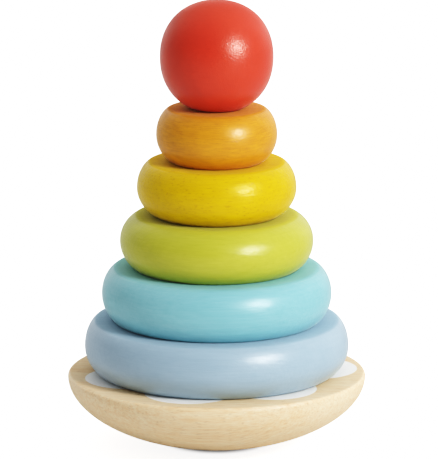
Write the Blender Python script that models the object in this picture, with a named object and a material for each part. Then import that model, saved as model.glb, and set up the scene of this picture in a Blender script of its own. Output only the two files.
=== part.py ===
# Wooden stacking tower: a rocker base with a glued-in peg, five loose rings and a ball on top.
# Every piece is turned about the Z axis. The origin is on the floor under the peg. Units are metres.
import math

import bmesh
import bpy

# Base: flat top, rounded rim, bowed underside with a small flat to stand on
BASE_DIAMETER = 0.120
BASE_HEIGHT = 0.0287
BASE_RIM_ROUND = 0.0015
BASE_FOOT_DIAMETER = 0.022
BASE_UNDERSIDE_POWER = 1.92  # 2 bows the underside as an ellipse, less is nearer a cone

# Peg: a dowel in a blind socket in the base
PEG_DIAMETER = 0.014
PEG_SOCKET_DEPTH = 0.016
PEG_ABOVE_RINGS = 0.020  # length that the ball slides onto
PEG_TIP_ROUND = 0.004
PEG_FOOT_CHAMFER = 0.001

# Rings: one height and bore for all of them; a bulge is how far the outside passes the upper or lower flat
RING_HEIGHT = 0.0214
RING_BORE_ROUND = 0.0012
RING_TOP_EDGE = 71  # degrees of the outside's arc above the widest circle; 90 would leave no edge
RING_BOTTOM_EDGE = 61  # degrees below it
BLUE_RING_DIAMETER = 0.1063
BLUE_RING_TOP_BULGE = 0.0043
BLUE_RING_BOTTOM_BULGE = 0.0066
TURQUOISE_RING_DIAMETER = 0.0924
TURQUOISE_RING_TOP_BULGE = 0.0054
TURQUOISE_RING_BOTTOM_BULGE = 0.0053
GREEN_RING_DIAMETER = 0.0777
GREEN_RING_TOP_BULGE = 0.0073
GREEN_RING_BOTTOM_BULGE = 0.0060
YELLOW_RING_DIAMETER = 0.0640
YELLOW_RING_TOP_BULGE = 0.0052
YELLOW_RING_BOTTOM_BULGE = 0.0071
ORANGE_RING_DIAMETER = 0.0485
ORANGE_RING_TOP_BULGE = 0.0051
ORANGE_RING_BOTTOM_BULGE = 0.0059

# Ball: flat where it stands, blind bore from below
BALL_DIAMETER = 0.0454
BALL_ROUND_POWER = 2.16  # 2 is a true sphere, more is squarer
BALL_FLAT_DIAMETER = 0.0214
BALL_HEADROOM = 0.004  # space over the peg's tip
BALL_MOUTH_ROUND = 0.0008

# Fits
RING_CLEARANCE = 0.0020  # around the peg, on the radius
BALL_CLEARANCE = 0.0011  # around the peg, on the radius
TOUCH_GAP = 0.0003  # between pieces that touch or are glued

# Fineness: steps around the axis, and points along each stretch of an outline
BASE_STEPS = 52
RING_STEPS = 40
BALL_STEPS = 36
PEG_STEPS = 24
UNDERSIDE_POINTS = 14
BULGE_POINTS = 7
BALL_POINTS = 20
ROUND_POINTS = 5
SMALL_ROUND_POINTS = 3
WELD_DISTANCE = 1e-6
SHARP_ANGLE = math.radians(40)

# Sizes that follow
PEG_RADIUS = PEG_DIAMETER / 2
RING_BORE_RADIUS = PEG_RADIUS + RING_CLEARANCE
RING_PITCH = RING_HEIGHT + TOUCH_GAP
BALL_RADIUS = BALL_DIAMETER / 2

# Finishes as seen: sRGB colour and roughness
NATURAL_WOOD = ((231, 208, 170), 0.50)
PALE_BLUE_PAINT = ((166, 192, 207), 0.38)
TURQUOISE_PAINT = ((122, 196, 206), 0.38)
LIME_PAINT = ((186, 192, 60), 0.38)
YELLOW_PAINT = ((222, 190, 20), 0.38)
ORANGE_PAINT = ((216, 148, 42), 0.38)
RED_PAINT = ((214, 62, 42), 0.35)

# Bottom to top, as they are stacked
RINGS = (
    ("blue_ring", BLUE_RING_DIAMETER, BLUE_RING_TOP_BULGE, BLUE_RING_BOTTOM_BULGE, PALE_BLUE_PAINT),
    (
        "turquoise_ring",
        TURQUOISE_RING_DIAMETER,
        TURQUOISE_RING_TOP_BULGE,
        TURQUOISE_RING_BOTTOM_BULGE,
        TURQUOISE_PAINT,
    ),
    ("green_ring", GREEN_RING_DIAMETER, GREEN_RING_TOP_BULGE, GREEN_RING_BOTTOM_BULGE, LIME_PAINT),
    ("yellow_ring", YELLOW_RING_DIAMETER, YELLOW_RING_TOP_BULGE, YELLOW_RING_BOTTOM_BULGE, YELLOW_PAINT),
    ("orange_ring", ORANGE_RING_DIAMETER, ORANGE_RING_TOP_BULGE, ORANGE_RING_BOTTOM_BULGE, ORANGE_PAINT),
)


def clear_scene():
    for old in list(bpy.data.objects):
        bpy.data.objects.remove(old, do_unlink=True)


def linear(channel):
    """One sRGB channel, 0 to 255, as a linear value."""
    share = channel / 255
    if share <= 0.04045:
        return share / 12.92
    return ((share + 0.055) / 1.055) ** 2.4


def finish_material(name, finish):
    colour, roughness = finish
    material = bpy.data.materials.new(name)
    material.use_nodes = True
    shader = material.node_tree.nodes["Principled BSDF"]
    shader.inputs["Base Color"].default_value = (*map(linear, colour), 1.0)
    shader.inputs["Roughness"].default_value = roughness
    shader.inputs["Metallic"].default_value = 0.0
    return material


def arc(centre, radii, start, end, count):
    """(radius, height) points on an elliptical arc; 0 degrees points away from the axis, 90 up."""
    points = []
    for step in range(count):
        angle = math.radians(start + (end - start) * step / (count - 1))
        points.append((centre[0] + radii[0] * math.cos(angle), centre[1] + radii[1] * math.sin(angle)))
    return points


def base_profile():
    """From the socket's floor, out over the flat top and rim, then down the underside to the foot."""
    radius = BASE_DIAMETER / 2
    widest = BASE_HEIGHT - BASE_RIM_ROUND
    socket_radius = PEG_RADIUS + TOUCH_GAP
    socket_floor = BASE_HEIGHT - PEG_SOCKET_DEPTH
    points = [(0, socket_floor), (socket_radius, socket_floor), (socket_radius, BASE_HEIGHT)]
    points += arc((radius - BASE_RIM_ROUND, widest), (BASE_RIM_ROUND, BASE_RIM_ROUND), 90, 0, ROUND_POINTS)
    # The underside is a superellipse that reaches the floor where the foot's flat begins
    power = 2 / BASE_UNDERSIDE_POWER
    foot_turn = math.acos((BASE_FOOT_DIAMETER / BASE_DIAMETER) ** (1 / power))
    depth = widest / math.sin(foot_turn) ** power
    for station in range(1, UNDERSIDE_POINTS):
        turn = foot_turn * station / UNDERSIDE_POINTS
        points.append((radius * math.cos(turn) ** power, widest - depth * math.sin(turn) ** power))
    points += [(BASE_FOOT_DIAMETER / 2, 0), (0, 0)]
    return points


def peg_profile(length):
    """From the centre of the rounded tip down to the chamfered foot."""
    tip_centre = (PEG_RADIUS - PEG_TIP_ROUND, length - PEG_TIP_ROUND)
    points = [(0, length)]
    points += arc(tip_centre, (PEG_TIP_ROUND, PEG_TIP_ROUND), 90, 0, ROUND_POINTS)
    points += [(PEG_RADIUS, PEG_FOOT_CHAMFER), (PEG_RADIUS - PEG_FOOT_CHAMFER, 0), (0, 0)]
    return points


def bulge_arc(radius, bulge, edge, start, end):
    """Half of a ring's outside: an elliptical arc that falls in by the bulge on its way to a flat."""
    middle = RING_HEIGHT / 2
    reach = bulge / (1 - math.cos(math.radians(edge)))
    rise = middle / math.sin(math.radians(edge))
    return arc((radius - reach, middle), (reach, rise), start, end, BULGE_POINTS)


def ring_profile(diameter, top_bulge, bottom_bulge):
    """Closed section: bulged outside from top to bottom, then up the bore with its rounded mouths."""
    radius = diameter / 2
    mouth = RING_BORE_RADIUS + RING_BORE_ROUND
    mouth_radii = (RING_BORE_ROUND, RING_BORE_ROUND)
    points = bulge_arc(radius, top_bulge, RING_TOP_EDGE, RING_TOP_EDGE, 0)[:-1]
    points += bulge_arc(radius, bottom_bulge, RING_BOTTOM_EDGE, 0, -RING_BOTTOM_EDGE)
    points += arc((mouth, RING_BORE_ROUND), mouth_radii, 270, 180, SMALL_ROUND_POINTS)
    points += arc((mouth, RING_HEIGHT - RING_BORE_ROUND), mouth_radii, 180, 90, SMALL_ROUND_POINTS)
    return points


def ball_flat_turn():
    """Angle below the ball's widest circle at which its outline meets the flat, in radians."""
    return math.acos((BALL_FLAT_DIAMETER / BALL_DIAMETER) ** (BALL_ROUND_POWER / 2))


def ball_point(turn):
    """(radius, height) on the ball's squared-off circle, at an angle above its widest circle."""
    power = 2 / BALL_ROUND_POWER
    height = math.copysign(abs(math.sin(turn)) ** power, turn)
    return BALL_RADIUS * math.cos(turn) ** power, BALL_RADIUS * height


def ball_profile(bore_floor):
    """From the top of the ball down its outside to the flat and the bore's mouth, then up the bore."""
    top, bottom = math.pi / 2, -ball_flat_turn()
    points = [(0, BALL_RADIUS)]
    for station in range(1, BALL_POINTS):
        points.append(ball_point(top + (bottom - top) * station / (BALL_POINTS - 1)))
    flat_height = points[-1][1]
    bore = PEG_RADIUS + BALL_CLEARANCE
    mouth = (bore + BALL_MOUTH_ROUND, flat_height + BALL_MOUTH_ROUND)
    points += arc(mouth, (BALL_MOUTH_ROUND, BALL_MOUTH_ROUND), 270, 180, SMALL_ROUND_POINTS)
    points += [(bore, bore_floor), (0, bore_floor)]
    return points


def turned_piece(name, profile, closed, steps, finish):
    """Spin a (radius, height) outline about Z into one closed body."""
    shape = bmesh.new()
    corners = [shape.verts.new((radius, 0, height)) for radius, height in profile]
    edges = [shape.edges.new(pair) for pair in zip(corners, corners[1:])]
    if closed:
        edges.append(shape.edges.new((corners[-1], corners[0])))
    bmesh.ops.spin(
        shape,
        geom=corners + edges,
        cent=(0, 0, 0),
        axis=(0, 0, 1),
        angle=2 * math.pi,
        steps=steps,
        use_merge=True,
    )
    bmesh.ops.remove_doubles(shape, verts=shape.verts[:], dist=WELD_DISTANCE)
    bmesh.ops.recalc_face_normals(shape, faces=shape.faces[:])
    mesh = bpy.data.meshes.new(name)
    shape.to_mesh(mesh)
    shape.free()
    mesh.shade_smooth()
    mesh.set_sharp_from_angle(angle=SHARP_ANGLE)
    mesh.materials.append(finish_material(name, finish))
    piece = bpy.data.objects.new(name, mesh)
    bpy.context.scene.collection.objects.link(piece)
    return piece


def stand_on(piece, carrier, height):
    """Place a piece on the axis of what carries it, and let it ride along."""
    piece.parent = carrier
    piece.location = (0, 0, height)


def build_tower():
    base = turned_piece("rocker_base", base_profile(), False, BASE_STEPS, NATURAL_WOOD)

    carrier = base
    step_up = BASE_HEIGHT + TOUCH_GAP
    for name, diameter, top_bulge, bottom_bulge, finish in RINGS:
        ring = turned_piece(name, ring_profile(diameter, top_bulge, bottom_bulge), True, RING_STEPS, finish)
        stand_on(ring, carrier, step_up)
        carrier = ring
        step_up = RING_PITCH

    peg_foot = BASE_HEIGHT - PEG_SOCKET_DEPTH + TOUCH_GAP
    stack_top = BASE_HEIGHT + len(RINGS) * RING_PITCH
    peg_top = stack_top + PEG_ABOVE_RINGS
    peg = turned_piece("centre_peg", peg_profile(peg_top - peg_foot), False, PEG_STEPS, NATURAL_WOOD)
    stand_on(peg, base, peg_foot)

    centre = RING_PITCH - ball_point(-ball_flat_turn())[1]
    bore_floor = PEG_ABOVE_RINGS + RING_HEIGHT + BALL_HEADROOM - centre
    ball = turned_piece("red_ball", ball_profile(bore_floor), False, BALL_STEPS, RED_PAINT)
    stand_on(ball, carrier, centre)


clear_scene()
build_tower()
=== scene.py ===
import math

import bpy
import numpy as np
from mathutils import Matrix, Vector


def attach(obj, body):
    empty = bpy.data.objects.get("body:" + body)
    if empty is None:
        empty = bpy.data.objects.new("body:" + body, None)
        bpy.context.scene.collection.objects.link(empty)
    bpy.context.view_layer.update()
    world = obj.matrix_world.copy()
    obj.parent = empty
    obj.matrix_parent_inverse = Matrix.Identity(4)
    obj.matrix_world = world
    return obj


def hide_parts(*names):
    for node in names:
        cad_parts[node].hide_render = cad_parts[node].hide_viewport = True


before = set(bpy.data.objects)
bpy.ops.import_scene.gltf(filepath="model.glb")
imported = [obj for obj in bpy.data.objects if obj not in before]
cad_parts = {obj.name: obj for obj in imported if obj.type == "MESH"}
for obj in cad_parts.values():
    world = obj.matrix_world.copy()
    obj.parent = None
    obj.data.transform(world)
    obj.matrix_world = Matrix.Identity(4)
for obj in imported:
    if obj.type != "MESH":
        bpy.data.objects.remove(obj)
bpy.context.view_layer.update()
print("frame loaded:", len(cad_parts), "nodes")


# Reading sizes off the CAD nodes

cadSlack = 1e-5  # CAD measures closer than this count as equal


def cadSection(node):
    # every corner of a node as (distance from the Z axis, height)
    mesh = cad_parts[node].data
    flat = np.empty(len(mesh.vertices) * 3, np.float32)
    mesh.vertices.foreach_get("co", flat)
    x, y, z = flat.reshape(-1, 3).astype(float).T
    return np.hypot(x, y), z


# Turned shapes

pointSlack = 1e-7  # outline points closer than this are one


def straight(start, end, count):
    # evenly spaced points from start to end
    return np.linspace(start, end, count)


def bow(centre, radii, startDegrees, endDegrees, count):
    # elliptical arc: centre + (radius * cos, height * sin), 0 degrees points away from the axis
    turn = np.radians(np.linspace(startDegrees, endDegrees, count))
    return np.column_stack([centre[0] + radii[0] * np.cos(turn), centre[1] + radii[1] * np.sin(turn)])


def gathered(start, end, count):
    # points from start to end that crowd towards end: start + (end - start) * (1 - (1 - t)^2)
    share = 1 - (1 - np.linspace(0, 1, count)[:, None]) ** 2
    return np.array(start) + (np.array(end) - np.array(start)) * share


def softened(outline, corner, reach, count):
    # points nearer than reach to a corner give way to (1-t)^2 before + 2t(1-t) corner + t^2 after
    near = np.flatnonzero(np.linalg.norm(outline - corner, axis=1) < reach)
    before, after = outline[near[0] - 1], outline[near[-1] + 1]
    t = np.linspace(0, 1, count)[1:-1, None]
    curve = (1 - t) ** 2 * before + 2 * t * (1 - t) * np.array(corner) + t ** 2 * after
    return np.vstack([outline[:near[0]], curve, outline[near[-1] + 1:]])


def joinStretches(*stretches):
    # one outline from several stretches, without the doubled points where they meet
    points = np.vstack(stretches)
    gaps = np.linalg.norm(np.diff(points, axis=0), axis=1)
    return points[np.concatenate([[True], gaps > pointSlack])]


def turnedPiece(name, outline, steps, closed):
    # point (i, j) = (r_i cos a_j, r_i sin a_j, z_i): the outline carried once round the Z axis
    # an open outline starts and ends on the axis, where its end rows shrink to one point each
    turn = np.arange(steps) * 2 * np.pi / steps
    rows = outline if closed else outline[1:-1]
    points = np.stack([
        np.outer(rows[:, 0], np.cos(turn)),
        np.outer(rows[:, 0], np.sin(turn)),
        np.repeat(rows[:, 1:], steps, axis=1),
    ], axis=-1).reshape(-1, 3)
    index = np.arange(len(points)).reshape(len(rows), steps)
    if closed:
        row, nextRow = index, np.roll(index, -1, axis=0)
    else:
        row, nextRow = index[:-1], index[1:]
    quads = np.stack([row, nextRow, np.roll(nextRow, -1, axis=1), np.roll(row, -1, axis=1)], axis=-1)
    triangles = np.empty((0, 3), int)
    if not closed:
        first, last = len(points), len(points) + 1
        points = np.vstack([points, [[0, 0, outline[0, 1]], [0, 0, outline[-1, 1]]]])
        firstFan = np.column_stack([np.full(steps, first), index[0], np.roll(index[0], -1)])
        lastFan = np.column_stack([index[-1], np.full(steps, last), np.roll(index[-1], -1)])
        triangles = np.vstack([firstFan, lastFan])
    return pieceFrom(name, points, quads.reshape(-1, 4), triangles)


def pieceFrom(name, points, quads, triangles):
    # one smooth mesh object from whole arrays
    mesh = bpy.data.meshes.new(name)
    corners = np.concatenate([quads.ravel(), triangles.ravel()])
    sides = np.concatenate([np.full(len(quads), 4), np.full(len(triangles), 3)])
    starts = np.concatenate([[0], np.cumsum(sides)[:-1]])
    mesh.vertices.add(len(points))
    mesh.vertices.foreach_set("co", points.astype(np.float32).ravel())
    mesh.loops.add(len(corners))
    mesh.loops.foreach_set("vertex_index", corners.astype(np.int32))
    mesh.polygons.add(len(sides))
    mesh.polygons.foreach_set("loop_start", starts.astype(np.int32))
    mesh.update(calc_edges=True)
    mesh.shade_smooth()
    piece = bpy.data.objects.new(name, mesh)
    bpy.context.scene.collection.objects.link(piece)
    return piece


def placePiece(piece, node, body):
    # the piece moves with its body and stands in for its CAD node
    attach(piece, body)
    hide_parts(node)
    print("made", piece.name, "for", node, "with", len(piece.data.polygons), "faces")


# Shader helpers: a name that ends in Of adds one node and returns what it gives

def setOrLink(tree, target, value):
    if isinstance(value, bpy.types.NodeSocket):
        tree.links.new(value, target)
    else:
        target.default_value = value


def setInputs(node, values):
    for socket, value in values.items():
        node.inputs[socket].default_value = value


def coordsOf(tree, kind="Object"):
    return tree.nodes.new("ShaderNodeTexCoord").outputs[kind]


def mappingOf(tree, vector, values):
    node = tree.nodes.new("ShaderNodeMapping")
    setInputs(node, values)
    tree.links.new(vector, node.inputs["Vector"])
    return node.outputs["Vector"]


def splitOf(tree, vector):
    node = tree.nodes.new("ShaderNodeSeparateXYZ")
    tree.links.new(vector, node.inputs[0])
    return node.outputs["X"], node.outputs["Y"], node.outputs["Z"]


def noiseOf(tree, vector, scale, detail=2.0, roughness=0.5):
    node = tree.nodes.new("ShaderNodeTexNoise")
    setInputs(node, {"Scale": scale, "Detail": detail, "Roughness": roughness})
    tree.links.new(vector, node.inputs["Vector"])
    return node.outputs["Fac"]


def mathOf(tree, operation, first, second=0.0, clamp=False):
    node = tree.nodes.new("ShaderNodeMath")
    node.operation = operation
    node.use_clamp = clamp
    setOrLink(tree, node.inputs[0], first)
    setOrLink(tree, node.inputs[1], second)
    return node.outputs[0]


def distanceOf(tree, vector, point):
    node = tree.nodes.new("ShaderNodeVectorMath")
    node.operation = "DISTANCE"
    tree.links.new(vector, node.inputs[0])
    node.inputs[1].default_value = point
    return node.outputs["Value"]


def rangeOf(tree, value, low, high, newLow, newHigh, smooth=False):
    node = tree.nodes.new("ShaderNodeMapRange")
    node.interpolation_type = "SMOOTHSTEP" if smooth else "LINEAR"
    node.clamp = smooth
    tree.links.new(value, node.inputs["Value"])
    setInputs(node, {"From Min": low, "From Max": high, "To Min": newLow, "To Max": newHigh})
    return node.outputs["Result"]


def blendOf(tree, share, first, second, mode="MIX"):
    node = tree.nodes.new("ShaderNodeMix")
    node.data_type = "RGBA"
    node.blend_type = mode
    setOrLink(tree, node.inputs[0], share)
    for target, colour in zip(node.inputs[6:8], (first, second)):  # the two inputs for colours
        setOrLink(tree, target, colour if isinstance(colour, bpy.types.NodeSocket) else (*colour, 1))
    return node.outputs[2]  # the output for colours


def bumpOf(tree, height, strength, distance, normal=None):
    node = tree.nodes.new("ShaderNodeBump")
    setInputs(node, {"Strength": strength, "Distance": distance})
    tree.links.new(height, node.inputs["Height"])
    if normal is not None:
        tree.links.new(normal, node.inputs["Normal"])
    return node.outputs["Normal"]


def newFinish(name):
    material = bpy.data.materials.new(name)
    material.use_nodes = True
    return material, material.node_tree, material.node_tree.nodes["Principled BSDF"]


def fromSrgb(*channels):
    # sRGB 0 to 255 as linear values
    share = np.array(channels) / 255
    return tuple(np.where(share <= 0.04045, share / 12.92, ((share + 0.055) / 1.055) ** 2.4))


# Wood grain: runs along X, with all marks drawn out that way

grain = {
    # stretch: how much slower a mark changes along the grain than across it
    "streaks": dict(scale=620.0, stretch=0.035, detail=4, roughness=0.6),  # about 1.5 mm apart
    "pores": dict(scale=1400.0, stretch=0.2, detail=2, roughness=0.5),
    "pits": dict(scale=1400.0, stretch=0.3, detail=2, roughness=0.5),  # pores that paint has filled, rounder
    "flecks": dict(scale=1500.0, stretch=0.07, detail=3, roughness=0.65),  # short brushed dashes
    "patches": dict(scale=38.0, stretch=0.35, detail=3, roughness=0.5),
    "spread": (0.3, 0.7),  # nearly all of a noise lies between these
    "holeEdge": (0.58, 0.72),  # where a noise starts to be a pore or pit, and is fully one
    # upward share of the normal where a flat starts to be dull and is fully so, and the roughness that adds
    "sanded": (0.86, 0.97, 0.46),
}


def grainCoords(tree, finish):
    # Object coordinates moved and turned so that X runs along the piece's own grain
    turn = (0, math.radians(finish["grainTilt"]), math.radians(finish["grainTurn"]))
    return mappingOf(tree, coordsOf(tree), {"Rotation": turn, "Location": finish["grainOffset"]})


def grainNoise(tree, along, kind):
    mark = grain[kind]
    drawn = mappingOf(tree, along, {"Scale": (mark["stretch"], 1, 1)})
    return noiseOf(tree, drawn, mark["scale"], mark["detail"], mark["roughness"])


def grainHoles(tree, along, kind):
    # the peaks of a noise: 0 beside a hole, 1 in it
    return rangeOf(tree, grainNoise(tree, along, kind), *grain["holeEdge"], 0.0, 1.0, smooth=True)


def swing(tree, noise, show, middle=0.0):
    # the noise's spread as middle - show to middle + show
    return rangeOf(tree, noise, *grain["spread"], middle - show, middle + show)


def levelDullness(tree, start, full, added):
    # added roughness where a surface lies level: flats are sanded, and a turned top shows end grain
    upward = splitOf(tree, coordsOf(tree, "Normal"))[2]
    return rangeOf(tree, mathOf(tree, "ABSOLUTE", upward), start, full, 0.0, added, smooth=True)


# Satin paint of the rings and ball

paint = {
    "middle": 0.35,  # usual depth of the paint, from its light to its deep colour
    "roughShow": 0.04,  # how far patches move the roughness
    "latheScale": 2000.0,
    "latheDetail": 3.0,
    "latheRoughness": 0.6,
    "latheDrift": 0.0026,  # how far the lathe's lines wander on the way round
    "latheDepth": 8e-6,
    "bloom": 0.35,  # faint whitish haze at low angles
    "bloomRough": 0.3,
    "ior": 1.5,
}


def latheLines(tree):
    # noise over distance from the axis, height and, slowly, the way round: lines that run round the piece
    x, y, z = splitOf(tree, coordsOf(tree))
    square = mathOf(tree, "ADD", mathOf(tree, "MULTIPLY", x, x), mathOf(tree, "MULTIPLY", y, y))
    away = mathOf(tree, "SQRT", square)
    cosine, sine = (
        mathOf(tree, "MULTIPLY", mathOf(tree, "DIVIDE", side, away), paint["latheDrift"]) for side in (x, y)
    )
    place = tree.nodes.new("ShaderNodeCombineXYZ")
    for target, value in zip(place.inputs, (away, z, cosine)):
        tree.links.new(value, target)
    noise = tree.nodes.new("ShaderNodeTexNoise")
    noise.noise_dimensions = "4D"
    setInputs(noise, {
        "Scale": paint["latheScale"],
        "Detail": paint["latheDetail"],
        "Roughness": paint["latheRoughness"],
    })
    tree.links.new(place.outputs[0], noise.inputs["Vector"])
    tree.links.new(sine, noise.inputs["W"])
    return noise.outputs["Fac"]


def paintedWood(name, finish):
    material, tree, shader = newFinish(name)
    along = grainCoords(tree, finish)
    streaks = grainNoise(tree, along, "streaks")
    patches = grainNoise(tree, along, "patches")
    pits = grainHoles(tree, along, "pits")
    lathe = latheLines(tree)
    # paint is deeper over the hard lines of the grain and deepest over pits
    depth = swing(tree, streaks, finish["grainShow"], paint["middle"])
    depth = mathOf(tree, "ADD", depth, mathOf(tree, "MULTIPLY", pits, finish["pitShow"]))
    depth = mathOf(tree, "ADD", depth, swing(tree, patches, finish["patchShow"]))
    depth = mathOf(tree, "ADD", depth, swing(tree, lathe, finish["latheShow"]))
    colour = blendOf(tree, depth, finish["light"], finish["deep"])
    tree.links.new(colour, shader.inputs["Base Color"])
    rough = swing(tree, patches, paint["roughShow"], finish["rough"])
    rough = mathOf(tree, "ADD", rough, levelDullness(tree, *finish["dullTop"]))
    tree.links.new(rough, shader.inputs["Roughness"])
    peel = noiseOf(tree, along, finish["peelScale"])
    normal = bumpOf(tree, lathe, 1.0, paint["latheDepth"])
    normal = bumpOf(tree, streaks, 1.0, finish["streakDepth"], normal)
    normal = bumpOf(tree, peel, 1.0, finish["peelDepth"], normal)
    tree.links.new(normal, shader.inputs["Normal"])
    shine = (*finish["shine"], 1)
    setInputs(shader, {
        "IOR": paint["ior"],
        "Specular IOR Level": finish["gloss"],
        "Specular Tint": shine,
        "Sheen Weight": paint["bloom"],
        "Sheen Roughness": paint["bloomRough"],
        "Sheen Tint": shine,
    })
    return material


# Stack of rings

rings = {
    "topEdge": 71.0,  # degrees up the bulge where its arc meets the flat top
    "footEdge": 61.0,  # degrees down it to the flat underside
    "topRound": 0.0009,  # the upper edge is eased from this far off
    "footRound": 0.0003,
    "settle": 0.0002,  # a ring's underside closes most of the solids' gap to what carries it
    "bulgeCount": 49,  # points over each half of the bulge
    "flatCount": 36,
    "edgeCount": 9,
    "mouthCount": 13,
    "boreCount": 10,
    "steps": 360,
    "finish": dict(grainTilt=0, dullTop=grain["sanded"]),  # what all rings share
}

# the four Show values say how far each mark takes the paint towards its deep colour; depths are in metres
ringFinishes = {
    "blue_ring": dict(
        body="blue", slot="pale_blue_paint", piece="blueRing",
        light=fromSrgb(178, 200, 215), deep=fromSrgb(152, 180, 199),
        grainTurn=4, grainOffset=(0.31, 0.02, 0.0),
        grainShow=0.1, pitShow=0.1, patchShow=0.18, latheShow=0.12,
        streakDepth=150e-6, peelScale=2600.0, peelDepth=29e-6,
        rough=0.33, gloss=0.51, shine=(1.0, 1.0, 1.0),
    ),
    "turquoise_ring": dict(
        body="turquoise", slot="turquoise_paint", piece="turquoiseRing",
        light=fromSrgb(159, 209, 218), deep=fromSrgb(120, 189, 198),
        grainTurn=-7, grainOffset=(0.11, 0.37, 0.05),
        grainShow=0.1, pitShow=0.1, patchShow=0.18, latheShow=0.12,
        streakDepth=150e-6, peelScale=2600.0, peelDepth=29e-6,
        rough=0.33, gloss=0.46, shine=(1.0, 1.0, 1.0),
    ),
    "green_ring": dict(
        body="green", slot="lime_paint", piece="greenRing",
        light=fromSrgb(204, 201, 86), deep=fromSrgb(181, 182, 59),
        grainTurn=9, grainOffset=(0.52, 0.13, 0.21),
        grainShow=0.11, pitShow=0.12, patchShow=0.15, latheShow=0.12,
        streakDepth=160e-6, peelScale=2600.0, peelDepth=34e-6,
        rough=0.33, gloss=0.45, shine=(1.0, 1.0, 0.95),
    ),
    "yellow_ring": dict(
        body="yellow", slot="yellow_paint", piece="yellowRing",
        light=fromSrgb(229, 194, 3), deep=fromSrgb(209, 168, 3),
        grainTurn=-3, grainOffset=(0.27, 0.61, 0.33),
        grainShow=0.1, pitShow=0.8, patchShow=0.15, latheShow=0.24,
        streakDepth=200e-6, peelScale=1600.0, peelDepth=60e-6,
        rough=0.32, gloss=0.42, shine=(1.0, 0.96, 0.6),
    ),
    "orange_ring": dict(
        body="orange", slot="orange_paint", piece="orangeRing",
        light=fromSrgb(231, 165, 43), deep=fromSrgb(198, 130, 37),
        grainTurn=6, grainOffset=(0.77, 0.29, 0.47),
        grainShow=0.1, pitShow=0.25, patchShow=0.15, latheShow=0.3,
        streakDepth=130e-6, peelScale=1800.0, peelDepth=60e-6,
        rough=0.34, gloss=0.54, shine=(1.0, 0.95, 0.8),
    ),
}


def bulgeRadii(bulge, rise, edge):
    # radii of the ellipse that is bulge deep and rise high between 0 and edge degrees
    turn = math.radians(edge)
    return bulge / (1 - math.cos(turn)), rise / math.sin(turn)


def ringOutline(node):
    # two elliptical arcs outside, level flats with eased edges, a bore with rounded mouths
    radius, height = cadSection(node)
    foot, top = height.min(), height.max()
    onTop, onFoot = height > top - cadSlack, height < foot + cadSlack
    outer, bore = radius.max(), radius.min()
    topFlat, footFlat, mouth = radius[onTop].max(), radius[onFoot].max(), radius[onTop].min()
    mouthRound = mouth - bore
    middle = (foot + top) / 2
    foot -= rings["settle"]
    above = bulgeRadii(outer - topFlat, top - middle, rings["topEdge"])
    below = bulgeRadii(outer - footFlat, middle - foot, rings["footEdge"])
    outline = joinStretches(
        bow((outer - below[0], middle), below, 0, -rings["footEdge"], rings["bulgeCount"]),
        gathered((mouth, foot), (footFlat, foot), rings["flatCount"])[::-1],
        bow((mouth, foot + mouthRound), (mouthRound, mouthRound), 270, 180, rings["mouthCount"]),
        straight((bore, foot + mouthRound), (bore, top - mouthRound), rings["boreCount"]),
        bow((mouth, top - mouthRound), (mouthRound, mouthRound), 180, 90, rings["mouthCount"]),
        gathered((mouth, top), (topFlat, top), rings["flatCount"]),
        bow((outer - above[0], middle), above, rings["topEdge"], 0, rings["bulgeCount"])[:-1],
    )
    outline = softened(outline, (footFlat, foot), rings["footRound"], rings["edgeCount"])
    return softened(outline, (topFlat, top), rings["topRound"], rings["edgeCount"])


def makeRing(node, finish):
    piece = turnedPiece(finish["piece"], ringOutline(node), rings["steps"], closed=True)
    piece.data.materials.append(paintedWood(finish["piece"] + "Paint", finish))
    placePiece(piece, node, finish["body"])


for ringNode, ringFinish in ringFinishes.items():
    makeRing(ringNode, rings["finish"] | ringFinish)


# Ball with a flat to stand on and a blind bore

ball = dict(
    body="ball", slot="red_paint", piece="redBall",
    roundPower=2.16,  # of the superellipse, a little squarer than a sphere's 2
    skinCount=150, flatCount=5, mouthCount=11, boreCount=20, roofCount=8, steps=256,
    light=fromSrgb(219, 75, 50), deep=fromSrgb(201, 61, 41),
    grainTilt=0, grainTurn=12, grainOffset=(0.43, 0.71, 0.13),
    grainShow=0.07, pitShow=0.07, patchShow=0.15, latheShow=0.06,
    streakDepth=15e-6, peelScale=2000.0, peelDepth=100e-6,
    rough=0.33, gloss=0.56, shine=(1.0, 0.92, 0.85),
    dullTop=(0.4, 1.0, 0.36),  # as for the sanded flats, but gradual
)


def ballOutline(node):
    # superellipse from the top down to a flat, then a rounded mouth and up the bore to its roof
    radius, height = cadSection(node)
    outer, low = radius.max(), height.min()
    centre = height.max() - outer
    onFlat = height < low + cadSlack
    flat, mouth = radius[onFlat].max(), radius[onFlat].min()
    bore = radius[height < centre - outer / 2].min()
    roof = height[np.abs(radius - bore) < cadSlack].max()
    mouthRound = mouth - bore
    power = 2 / ball["roundPower"]
    flatTurn = math.acos((flat / outer) ** (1 / power))
    turn = np.linspace(math.pi / 2, -flatTurn, ball["skinCount"])
    rise = np.sign(turn) * np.abs(np.sin(turn)) ** power
    skin = np.column_stack([outer * np.abs(np.cos(turn)) ** power, centre + outer * rise])
    skin[0, 0] = 0  # exactly on the axis
    return joinStretches(
        skin,
        straight((flat, low), (mouth, low), ball["flatCount"]),
        bow((mouth, low + mouthRound), (mouthRound, mouthRound), 270, 180, ball["mouthCount"]),
        straight((bore, low + mouthRound), (bore, roof), ball["boreCount"]),
        straight((bore, roof), (0, roof), ball["roofCount"]),
    )


ballPiece = turnedPiece(ball["piece"], ballOutline("red_ball"), ball["steps"], closed=False)
ballPiece.data.materials.append(paintedWood("redBallPaint", ball))
placePiece(ballPiece, "red_ball", ball["body"])


# Natural wood of the base and peg

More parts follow.
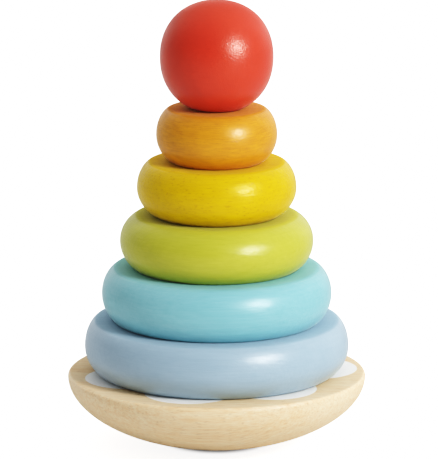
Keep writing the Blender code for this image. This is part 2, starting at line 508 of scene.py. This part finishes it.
wood = {
    "pale": fromSrgb(255, 236, 202),
    "tan": fromSrgb(241, 201, 151),
    "pore": fromSrgb(191, 150, 108),
    # how far each mark takes the wood from pale to tan, and pores take it to their own colour
    "growthShow": 0.12,
    "streakShow": 0.35,
    "fleckShow": 0.32,
    "patchShow": 0.4,
    "poreShow": 0.3,
    "growthScale": 70.0,
    "growthStretch": 0.12,
    "growthBend": 3.0,
    "growthDetail": 2.0,
    "growthDetailScale": 0.6,
    "growthEdge": (0.45, 1.0),  # where a growth line starts to show, and shows in full
    "rough": (0.42, 0.52),
    "streakBump": (0.25, 0.0002),  # strength, depth
    "poreBump": (0.2, -0.0001),
    "ior": 1.48,
    "flatShadeTint": (0.89, 0.89, 0.90),  # painted shade: the base's flat top is darker than its turned side, as in the shade of the rings
    "flatDepth": 0.0002,
}

petals = {
    # each petal's middle: degrees from the front, towards the right, and distance from the axis
    "middles": ((-72, 0.0370), (-17.5, 0.0368), (38, 0.0361), (96.5, 0.0393), (160, 0.0368), (224, 0.0368)),
    "radius": 0.0177,
    "heartRadius": 0.030,
    "soft": 0.00015,
    "ragged": 0.00015,
    "raggedScale": 900.0,
    "raggedDetail": 3,
    "white": fromSrgb(252, 248, 243),
    "bump": (0.5, 0.0001),
}


def growthLines(tree, along):
    # rings round a pith that lies along X under the piece, bent by noise
    wave = tree.nodes.new("ShaderNodeTexWave")
    wave.wave_type = "RINGS"
    wave.rings_direction = "X"
    wave.wave_profile = "SAW"
    setInputs(wave, {
        "Scale": wood["growthScale"],
        "Distortion": wood["growthBend"],
        "Detail": wood["growthDetail"],
        "Detail Scale": wood["growthDetailScale"],
    })
    tree.links.new(mappingOf(tree, along, {"Scale": (wood["growthStretch"], 1, 1)}), wave.inputs["Vector"])
    return rangeOf(tree, wave.outputs["Fac"], *wood["growthEdge"], 0.0, wood["growthShow"], smooth=True)


def woodColour(tree, along, streaks, pores):
    patches = grainNoise(tree, along, "patches")
    flecks = grainNoise(tree, along, "flecks")
    tone = growthLines(tree, along)
    streakTone = rangeOf(tree, streaks, *grain["spread"], 0.0, wood["streakShow"])
    patchTone = rangeOf(tree, patches, *grain["spread"], 0.0, wood["patchShow"])
    tone = mathOf(tree, "ADD", tone, streakTone)
    tone = mathOf(tree, "ADD", tone, swing(tree, flecks, wood["fleckShow"]))
    tone = mathOf(tree, "ADD", tone, patchTone, clamp=True)
    colour = blendOf(tree, tone, wood["pale"], wood["tan"])
    return blendOf(tree, mathOf(tree, "MULTIPLY", pores, wood["poreShow"]), colour, wood["pore"])


def petalMask(tree, topHeight):
    # 1 within radius of any petal's middle and within heartRadius of the axis, along a slightly ragged edge
    coords = coordsOf(tree)
    axis = distanceOf(tree, coords, (0, 0, topHeight))
    edge = mathOf(tree, "SUBTRACT", axis, petals["heartRadius"])
    for degrees, away in petals["middles"]:
        turn = math.radians(degrees)
        middle = (away * math.sin(turn), -away * math.cos(turn), topHeight)
        petal = mathOf(tree, "SUBTRACT", distanceOf(tree, coords, middle), petals["radius"])
        edge = mathOf(tree, "MINIMUM", edge, petal)
    ragged = noiseOf(tree, coords, petals["raggedScale"], petals["raggedDetail"])
    edge = mathOf(tree, "ADD", edge, rangeOf(tree, ragged, 0.0, 1.0, -petals["ragged"], petals["ragged"]))
    return rangeOf(tree, edge, -petals["soft"], petals["soft"], 1.0, 0.0, smooth=True)


def naturalWood(name, finish, topHeight=None):
    # topHeight is given for the base, whose flat top carries painted shade and has the petals
    material, tree, shader = newFinish(name)
    along = grainCoords(tree, finish)
    streaks = grainNoise(tree, along, "streaks")
    pores = grainHoles(tree, along, "pores")
    colour = woodColour(tree, along, streaks, pores)
    rough = rangeOf(tree, streaks, *grain["spread"], *wood["rough"])
    rough = mathOf(tree, "ADD", rough, levelDullness(tree, *grain["sanded"]))
    normal = bumpOf(tree, streaks, *wood["streakBump"])
    normal = bumpOf(tree, pores, *wood["poreBump"], normal)
    if topHeight is not None:
        height = splitOf(tree, coordsOf(tree))[2]
        flat = mathOf(tree, "GREATER_THAN", height, topHeight - wood["flatDepth"])
        painted = mathOf(tree, "MULTIPLY", petalMask(tree, topHeight), flat)
        # painted shade: the whole flat top is darkened as if the rings above shaded it
        colour = blendOf(tree, flat, colour, wood["flatShadeTint"], "MULTIPLY")
        colour = blendOf(tree, painted, colour, petals["white"])
        normal = bumpOf(tree, painted, *petals["bump"], normal)
    tree.links.new(colour, shader.inputs["Base Color"])
    tree.links.new(rough, shader.inputs["Roughness"])
    tree.links.new(normal, shader.inputs["Normal"])
    shader.inputs["IOR"].default_value = wood["ior"]
    return material


# Rocker base

base = dict(
    body="base", slot="natural_wood", piece="rockerBase",
    underPower=1.92,  # of the underside's superellipse
    socketCount=8, wallCount=8, topCount=60, rimCount=17, underCount=160, footCount=10, steps=384,
    grainTurn=5, grainTilt=0, grainOffset=(0.0, 0.03, 0.07),
)


def baseOutline(node):
    # peg socket, flat top, rounded rim, then a superellipse underside down to the flat foot
    radius, height = cadSection(node)
    top = height.max()
    onTop = height > top - cadSlack
    onFoot = height < height.min() + cadSlack
    outer, socket = radius.max(), radius[onTop].min()
    rimRound = outer - radius[onTop].max()
    foot = radius[onFoot].max()
    socketFloor = height[np.abs(radius - socket) < cadSlack].min()
    widest = top - rimRound
    power = 2 / base["underPower"]
    footTurn = math.acos((foot / outer) ** (1 / power))
    depth = widest / math.sin(footTurn) ** power
    turn = np.linspace(0, footTurn, base["underCount"])
    under = np.column_stack([outer * np.cos(turn) ** power, widest - depth * np.sin(turn) ** power])
    outline = joinStretches(
        straight((0, socketFloor), (socket, socketFloor), base["socketCount"]),
        straight((socket, socketFloor), (socket, top), base["wallCount"]),
        straight((socket, top), (outer - rimRound, top), base["topCount"]),
        bow((outer - rimRound, widest), (rimRound, rimRound), 90, 0, base["rimCount"]),
        under,
        straight((foot, 0), (0, 0), base["footCount"]),
    )
    return outline, top


outlineOfBase, topOfBase = baseOutline("rocker_base")
basePiece = turnedPiece(base["piece"], outlineOfBase, base["steps"], closed=False)
basePiece.data.materials.append(naturalWood("rockerBaseWood", base, topOfBase))
placePiece(basePiece, "rocker_base", base["body"])


# Peg, glued into the base

peg = dict(
    body="base", slot="peg_wood", piece="centrePeg", tipRound=0.004, footChamfer=0.001,
    tipCount=8, roundCount=17, wallCount=60, chamferCount=3, footCount=6, steps=96,
    grainTurn=0, grainTilt=90, grainOffset=(0.4, 0.2, 0.6),  # grain runs up the peg
)


def pegOutline(node):
    # rounded tip, straight wall and chamfered foot
    radius, height = cadSection(node)
    outer, low, high = radius.max(), height.min(), height.max()
    tip, chamfer = peg["tipRound"], peg["footChamfer"]
    return joinStretches(
        straight((0, high), (outer - tip, high), peg["tipCount"]),
        bow((outer - tip, high - tip), (tip, tip), 90, 0, peg["roundCount"]),
        straight((outer, high - tip), (outer, low + chamfer), peg["wallCount"]),
        straight((outer, low + chamfer), (outer - chamfer, low), peg["chamferCount"]),
        straight((outer - chamfer, low), (0, low), peg["footCount"]),
    )


pegPiece = turnedPiece(peg["piece"], pegOutline("centre_peg"), peg["steps"], closed=False)
pegPiece.data.materials.append(naturalWood("centrePegWood", peg))
placePiece(pegPiece, "centre_peg", peg["body"])


# Studio

white = (1, 1, 1, 1)

studio = {
    "floorRadius": 14.0,
    "floorSides": 96,
    "floorDrop": 0.00005,
    "floorColour": (0.80, 0.80, 0.80, 1),
    "floorRough": 0.9,
    "floorGlow": 1.15,  # only where the camera sees the floor, as on a table lit from below
    "shadeReach": 0.003,  # the glow is shaded by what stands this close over it
    "shadeEdge": (0.0, 0.4),  # openness where the glow starts, and is full
    "surround": 0.225,  # dim all round, with the glows below added
    "seenSurround": 2.0,  # what the camera itself sees beyond the floor
    # direction, how far off it the glow starts and ends (as cosines), strength
    "glows": [
        ((0.0, 1.0, 0.1), -0.10, 0.85, 0.75),
        ((0.92, 0.25, 0.3), 0.35, 1.0, 0.52),
        ((0.0, 0.0, 1.0), 0.20, 1.0, 0.35),
    ],
}


def makeFloor():
    # plain disc just under the foot: a fan from its middle to (R cos a, R sin a)
    sides = studio["floorSides"]
    turn = np.arange(sides) * 2 * np.pi / sides
    rim = np.column_stack([np.cos(turn), np.sin(turn)]) * studio["floorRadius"]
    flat = np.vstack([rim, [[0, 0]]])
    points = np.column_stack([flat, np.full(sides + 1, -studio["floorDrop"])])
    index = np.arange(sides)
    fan = np.column_stack([index, np.roll(index, -1), np.full(sides, sides)])
    floor = pieceFrom("floor", points, np.empty((0, 4), int), fan)
    material, tree, shader = newFinish("paleFloor")
    setInputs(shader, {
        "Base Color": studio["floorColour"],
        "Roughness": studio["floorRough"],
        "Specular IOR Level": 0.0,
        "Emission Color": white,
    })
    path = tree.nodes.new("ShaderNodeLightPath")
    openness = tree.nodes.new("ShaderNodeAmbientOcclusion")
    openness.inputs["Distance"].default_value = studio["shadeReach"]
    glow = rangeOf(tree, openness.outputs["AO"], *studio["shadeEdge"], 0.0, studio["floorGlow"], smooth=True)
    glow = mathOf(tree, "MULTIPLY", path.outputs["Is Camera Ray"], glow)
    tree.links.new(glow, shader.inputs["Emission Strength"])
    floor.data.materials.append(material)
    print("floor laid")


def makeWorld():
    # soft surround with broad glows behind, at the right and overhead; white where the camera sees it
    world = bpy.data.worlds.new("softSurround")
    world.use_nodes = True
    tree = world.node_tree
    tree.nodes.clear()
    direction = coordsOf(tree, "Generated")
    strength = studio["surround"]
    for middle, start, end, power in studio["glows"]:
        towards = tree.nodes.new("ShaderNodeVectorMath")
        towards.operation = "DOT_PRODUCT"
        tree.links.new(direction, towards.inputs[0])
        towards.inputs[1].default_value = Vector(middle).normalized()
        glow = rangeOf(tree, towards.outputs["Value"], start, end, 0.0, power, smooth=True)
        strength = mathOf(tree, "ADD", glow, strength)
    lit = tree.nodes.new("ShaderNodeBackground")
    lit.inputs["Color"].default_value = white
    tree.links.new(strength, lit.inputs["Strength"])
    seen = tree.nodes.new("ShaderNodeBackground")
    setInputs(seen, {"Color": white, "Strength": studio["seenSurround"]})
    path = tree.nodes.new("ShaderNodeLightPath")
    either = tree.nodes.new("ShaderNodeMixShader")
    tree.links.new(path.outputs["Is Camera Ray"], either.inputs[0])
    tree.links.new(lit.outputs[0], either.inputs[1])
    tree.links.new(seen.outputs[0], either.inputs[2])
    output = tree.nodes.new("ShaderNodeOutputWorld")
    tree.links.new(either.outputs[0], output.inputs["Surface"])
    bpy.context.scene.world = world


lampAim = (0, 0, 0.09)
lamps = {
    # place: azimuth from the front towards the right, elevation, distance
    "keyLamp": dict(place=(44, 31.0, 1.5), size=0.40, power=14.3, glossy=False),
    "shineLamp": dict(place=(44, 22.0, 1.5), size=0.32, power=26.0, diffuse=False),
}


def makeLamp(name, place, size, power, diffuse=True, glossy=True):
    data = bpy.data.lights.new(name, "AREA")
    data.shape = "DISK"
    data.size = size
    data.energy = power
    lamp = bpy.data.objects.new(name, data)
    azimuth, elevation, distance = place
    side, rise = math.radians(azimuth), math.radians(elevation)
    away = Vector((math.sin(side) * math.cos(rise), -math.cos(side) * math.cos(rise), math.sin(rise)))
    lamp.location = Vector(lampAim) + away * distance
    lamp.rotation_euler = (-away).to_track_quat("-Z", "Y").to_euler()
    lamp.visible_diffuse = diffuse
    lamp.visible_glossy = glossy
    bpy.context.scene.collection.objects.link(lamp)


view = {
    "elevation": 13.02,
    "distance": 2.2,
    "pivot": (0, 0, 0.080),
    "pivotPixel": (216.67, 247.18),
    "pixelsPerMetre": 2488.5,  # at the pivot
    "image": (438, 459),
    "sensorWidth": 36,
    "clip": (0.05, 100),
}


def makeCamera():
    data = bpy.data.cameras.new("photoCamera")
    camera = bpy.data.objects.new("photoCamera", data)
    wide, tall = view["image"]
    focal = view["pixelsPerMetre"] * view["distance"]  # in pixels
    data.sensor_width = view["sensorWidth"]
    data.lens = focal * data.sensor_width / max(wide, tall)
    data.clip_start, data.clip_end = view["clip"]
    rise = math.radians(view["elevation"])
    back = Vector((0, -math.cos(rise), math.sin(rise)))
    upward = Vector((0, math.sin(rise), math.cos(rise)))
    # aim at the point that lands on the middle of the picture
    right = (wide / 2 - view["pivotPixel"][0]) / view["pixelsPerMetre"]
    lift = (view["pivotPixel"][1] - tall / 2) / view["pixelsPerMetre"]
    pivot = Vector(view["pivot"])
    camera.location = pivot + back * view["distance"]
    aim = pivot + Vector((right, 0, 0)) + upward * lift
    camera.rotation_euler = (aim - camera.location).to_track_quat("-Z", "Y").to_euler()
    bpy.context.scene.collection.objects.link(camera)
    bpy.context.scene.camera = camera


response = {
    "ceiling": 1.25,  # level that very bright light tends to
    "steepness": 1.66,
    "half": 0.472,  # light to the power of steepness that gives half the ceiling
    "brightest": 2.0,
    "count": 33,
}


def setResponse():
    # a film-like curve with a soft toe and shoulder:
    # shown = ceiling * light^steepness / (light^steepness + half), at most 1
    settings = bpy.context.scene.view_settings
    settings.view_transform = "Standard"
    settings.use_curve_mapping = True
    mapping = settings.curve_mapping
    mapping.white_level = (response["brightest"],) * 3  # the curve's right end
    light = np.linspace(0, response["brightest"], response["count"])
    raised = light ** response["steepness"]
    shown = np.minimum(response["ceiling"] * raised / (raised + response["half"]), 1)
    curve = mapping.curves[3]  # the one for all channels together
    curve.points[1].location = (1, shown[-1])
    for place in zip(light[1:-1] / response["brightest"], shown[1:-1]):
        curve.points.new(*place)
    mapping.update()


makeFloor()
makeWorld()
for lampName, lampSettings in lamps.items():
    makeLamp(lampName, **lampSettings)
makeCamera()
setResponse()
print("studio ready")
